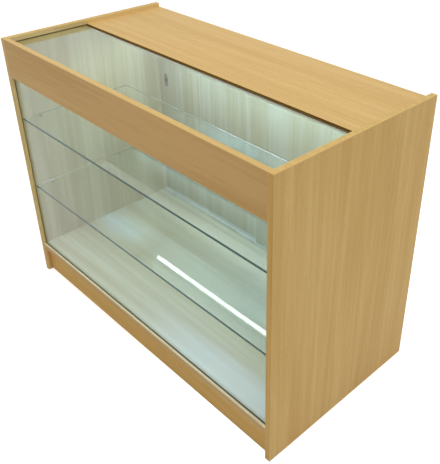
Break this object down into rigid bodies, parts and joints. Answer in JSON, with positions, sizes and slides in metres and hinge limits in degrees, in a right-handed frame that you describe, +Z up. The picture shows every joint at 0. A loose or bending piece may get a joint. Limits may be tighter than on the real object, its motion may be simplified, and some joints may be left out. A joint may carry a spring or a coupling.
{
  "type": "glazed display counter",
  "caption": "Free-standing wooden display counter with a glazed front, a half glazed top, glass shelves, sliding rear doors and a lamp under the counter top.",
  "frame": {"origin": "on the floor under the middle of the case", "axes": "+X along the counter to the right as the customer sees it, +Y from the customer's side to the server's side, +Z up"},
  "size_m": [1.2, 0.6, 0.9],
  "materials": {
    "panel_wood": "satin beech, upright grain",
    "fascia_wood": "satin beech, level grain",
    "base_wood": "satin beech, level grain",
    "plinth_wood": "satin beech, level grain",
    "top_wood": "satin beech, level grain",
    "edging_strip": "dark brown edging",
    "front_pane": "clear float glass, green at the edges",
    "top_pane": "clear float glass, green at the edges",
    "shelf_pane": "clear float glass, green at the edges",
    "gasket_rubber": "matt black",
    "peg_steel": "nickel plated",
    "sleeve_rubber": "grey, matt",
    "door_wood": "satin beech, upright grain",
    "pull_plastic": "dark brown, satin",
    "glide_nylon": "natural nylon",
    "track_plastic": "white, satin",
    "lamp_enamel": "white enamel",
    "led_strip": "white board with yellow chips",
    "diffuser_plastic": "frosted white, lit",
    "lamp_plastic": "white",
    "switch_plastic": "black",
    "pin_brass": "plain",
    "clip_steel": "spring steel",
    "screw_steel": "zinc plated",
    "dowel_wood": "plain beech",
    "cam_zinc": "cast, dull"
  },
  "bodies": {
    "carcass": {"left_end_panel": "panel_wood", "right_end_panel": "panel_wood", "front_fascia": "fascia_wood", "base_board": "base_wood", "front_plinth": "plinth_wood", "rear_plinth": "plinth_wood", "top_board": "top_wood", "top_board_edging": "edging_strip", "front_glass": "front_pane", "top_glass": "top_pane", "lower_glass_shelf": "shelf_pane", "upper_glass_shelf": "shelf_pane", "top_glass_left_gasket": "gasket_rubber", "top_glass_right_gasket": "gasket_rubber", "shelf_pegs": "peg_steel", "shelf_peg_sleeves": "sleeve_rubber", "door_bottom_track": "track_plastic", "door_top_track": "track_plastic", "lamp_housing": "lamp_enamel", "lamp_led_board": "led_strip", "lamp_diffuser": "diffuser_plastic", "lamp_left_cap": "lamp_plastic", "lamp_switch_block": "lamp_plastic", "lamp_inlet_pins": "pin_brass", "lamp_clips": "clip_steel", "lamp_clip_screws": "screw_steel", "cam_bolts": "screw_steel", "wood_dowels": "dowel_wood", "cam_discs": "cam_zinc"},
    "left_sliding_door": {"left_door": "door_wood", "left_door_pull": "pull_plastic", "left_door_glides": "glide_nylon"},
    "right_sliding_door": {"right_door": "door_wood", "right_door_pull": "pull_plastic", "right_door_glides": "glide_nylon"},
    "switch_rocker": {"lamp_switch": "switch_plastic"}
  },
  "joints": [
    {"name": "left_door_slide", "type": "slide", "parent": "carcass", "child": "left_sliding_door", "axis": [1, 0, 0], "range_m": [0, 0.556]},
    {"name": "right_door_slide", "type": "slide", "parent": "carcass", "child": "right_sliding_door", "axis": [-1, 0, 0], "range_m": [0, 0.556]},
    {"name": "switch_rock", "type": "hinge", "parent": "carcass", "child": "switch_rocker", "pos_m": [0.483, 0.148, 0.8598], "axis": [0, 0, -1], "range_deg": [0, 16]}
  ]
}
